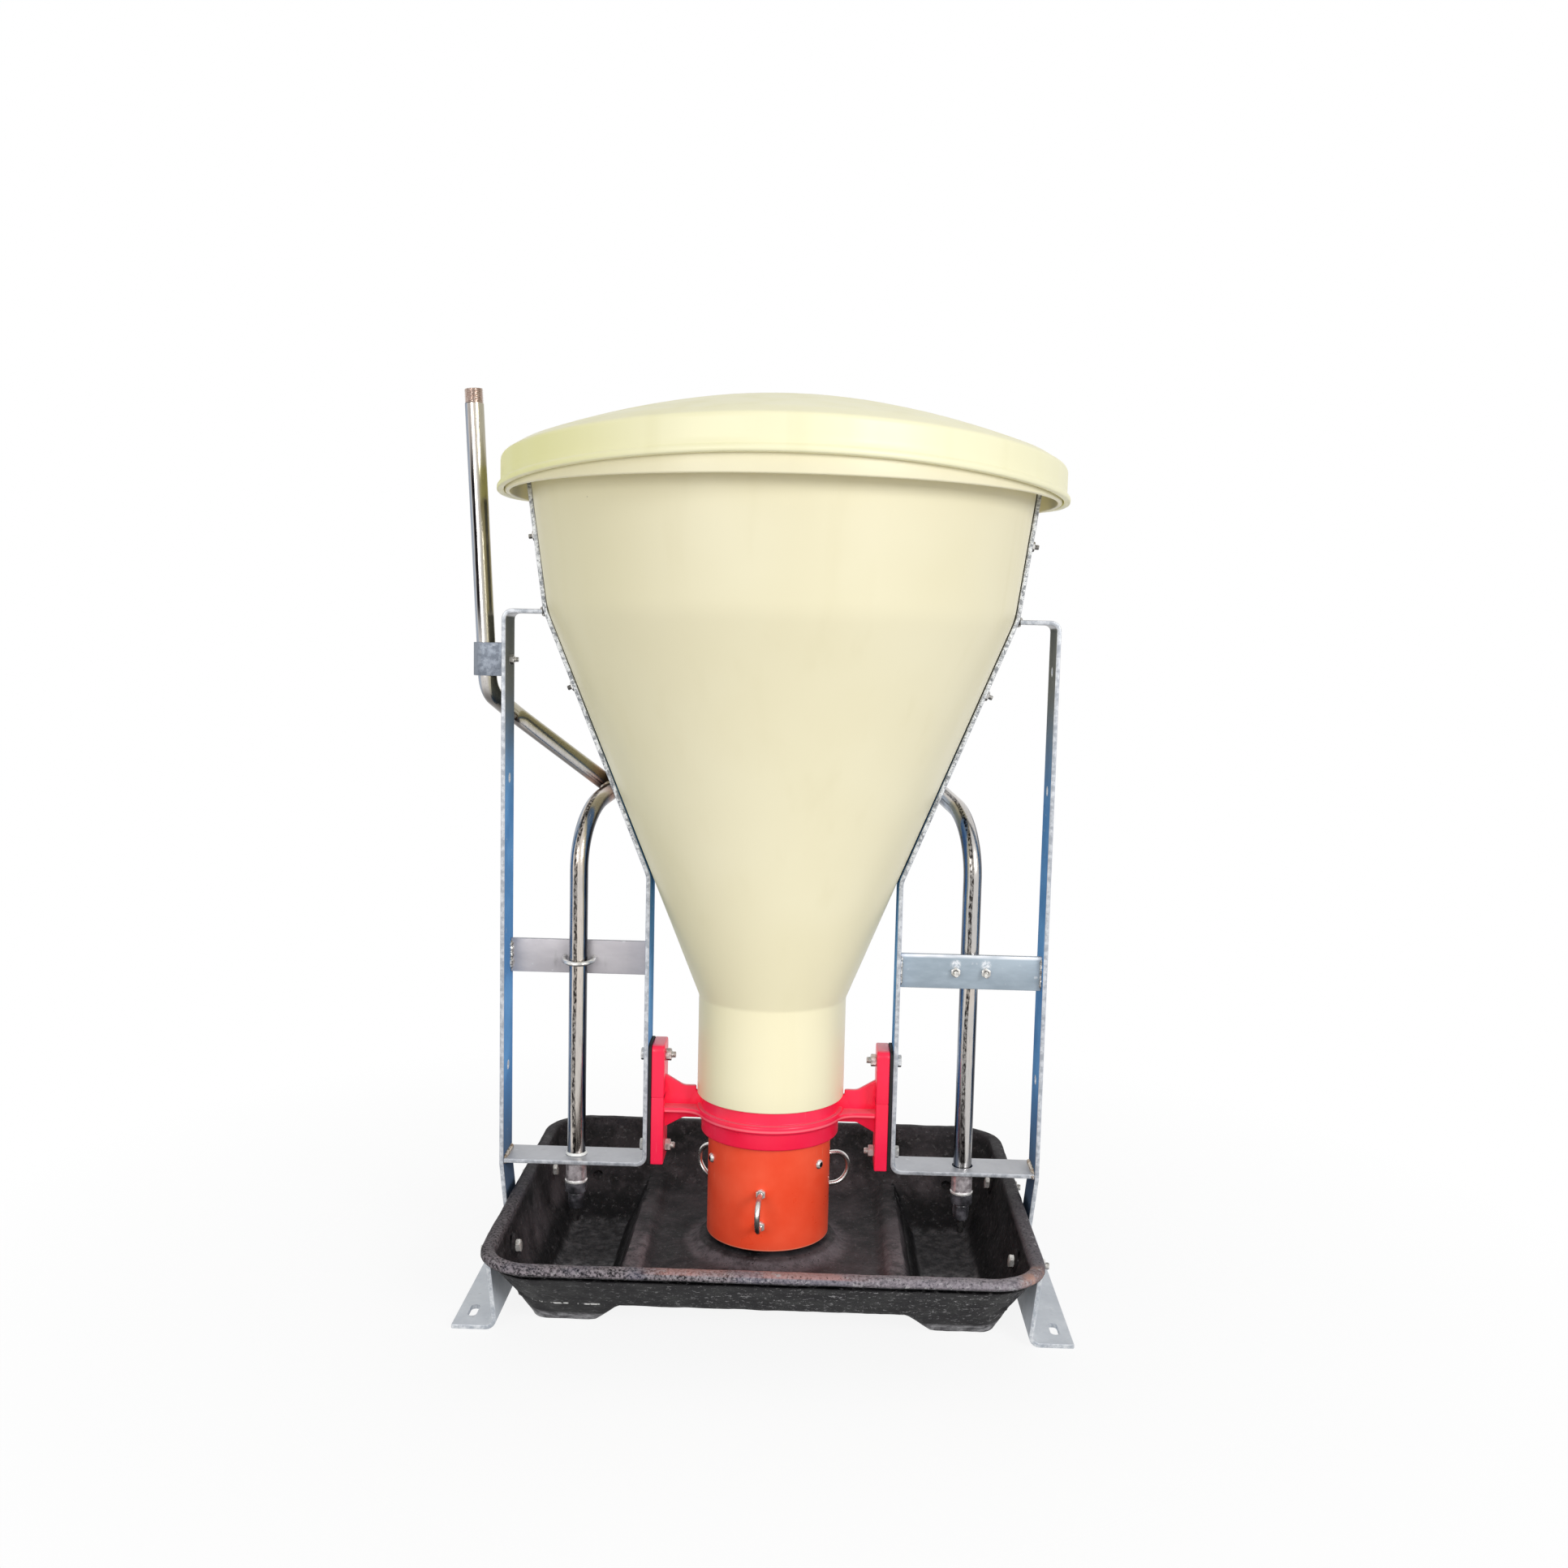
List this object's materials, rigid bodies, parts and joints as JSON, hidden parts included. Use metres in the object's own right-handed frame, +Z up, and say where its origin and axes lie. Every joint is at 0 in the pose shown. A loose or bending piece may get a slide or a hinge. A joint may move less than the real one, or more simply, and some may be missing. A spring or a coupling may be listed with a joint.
{
  "type": "pig feeder",
  "caption": "Dry and wet pig feeder: plastic hopper with a lid on a welded bar frame, a turning drop tube over a cast trough, and a water pipe with push-pin drinkers.",
  "frame": {"origin": "on the floor, under the axis of the hopper and the drop tube", "axes": "+Z up along the feed axis, +X to the right seen from the front, front at -Y"},
  "size_m": [0.7064, 0.64, 1.0375],
  "materials": {
    "galvanised_bar": "hot-dip galvanised flat bar, dull bluish grey",
    "cast_trough": "black painted casting, rough, rust brown on worn edges",
    "hopper_plastic": "cream moulded plastic, satin",
    "lid_plastic": "pale yellow moulded plastic, satin",
    "red_plastic": "crimson moulded plastic, glossy",
    "orange_plastic": "orange red extruded plastic tube, satin",
    "black_rubber": "black rubber sheet, matt",
    "black_plastic": "black moulded plastic, semi-gloss",
    "stainless_pipe": "polished stainless pipe with heat tint at the weld",
    "bright_steel": "bright stainless fasteners"
  },
  "bodies": {
    "frame": {"base_rail_left": "galvanised_bar", "base_rail_right": "galvanised_bar", "outer_leg_left": "galvanised_bar", "outer_leg_right": "galvanised_bar", "hopper_strap_left": "galvanised_bar", "hopper_strap_right": "galvanised_bar", "cross_bar_left": "galvanised_bar", "cross_bar_right": "galvanised_bar", "inlet_clamp": "galvanised_bar", "hanger_bar": "galvanised_bar", "trough": "cast_trough", "hopper": "hopper_plastic", "support_collar": "red_plastic", "collar_pad_left": "black_rubber", "collar_pad_right": "black_rubber", "drinker_seal_left": "black_rubber", "drinker_seal_right": "black_rubber", "drinker_body_left": "black_plastic", "drinker_body_right": "black_plastic", "water_pipe": "stainless_pipe", "inlet_pipe": "stainless_pipe", "pipe_coupling_left": "stainless_pipe", "pipe_coupling_right": "stainless_pipe", "trough_bolts": "bright_steel", "trough_nuts": "bright_steel", "hopper_bolts": "bright_steel", "hopper_nuts": "bright_steel", "collar_bolts": "bright_steel", "collar_nuts": "bright_steel", "inlet_clamp_bolt": "bright_steel", "inlet_clamp_nut": "bright_steel", "u_bolt_nuts": "bright_steel", "u_bolt_left": "bright_steel", "u_bolt_right": "bright_steel", "drinker_spring_left": "bright_steel", "drinker_spring_right": "bright_steel"},
    "lid": {"hopper_lid": "lid_plastic"},
    "hanger": {"hanger_rod": "bright_steel", "hanger_washer": "bright_steel", "hanger_top_nut": "bright_steel", "hanger_foot_nut": "bright_steel"},
    "tube": {"drop_tube": "orange_plastic", "tube_handle_front": "bright_steel", "tube_handle_left": "bright_steel", "tube_handle_right": "bright_steel", "handle_nuts": "bright_steel", "tube_spider": "galvanised_bar", "spider_screws": "bright_steel"},
    "drinker_pin_left": {"drinker_pin_left": "bright_steel"},
    "drinker_pin_right": {"drinker_pin_right": "bright_steel"}
  },
  "joints": [
    {"name": "lid_lift", "type": "slide", "parent": "frame", "child": "lid", "axis": [0, 0, 1], "range_m": [0, 0.25]},
    {"name": "tube_lift", "type": "slide", "parent": "frame", "child": "hanger", "axis": [0, 0, 1], "range_m": [0, 0.02]},
    {"name": "tube_turn", "type": "hinge", "parent": "hanger", "child": "tube", "pos_m": [0, 0, 0.16], "axis": [0, 0, 1], "continuous": true},
    {"name": "drinker_push_left", "type": "slide", "parent": "frame", "child": "drinker_pin_left", "axis": [0, 0, 1], "range_m": [0, 0.003], "stiffness_N_per_m": 300, "springref_m": -0.002, "deforming": ["drinker_spring_left"]},
    {"name": "drinker_push_right", "type": "slide", "parent": "frame", "child": "drinker_pin_right", "axis": [0, 0, 1], "range_m": [0, 0.003], "stiffness_N_per_m": 300, "springref_m": -0.002, "deforming": ["drinker_spring_right"]}
  ]
}
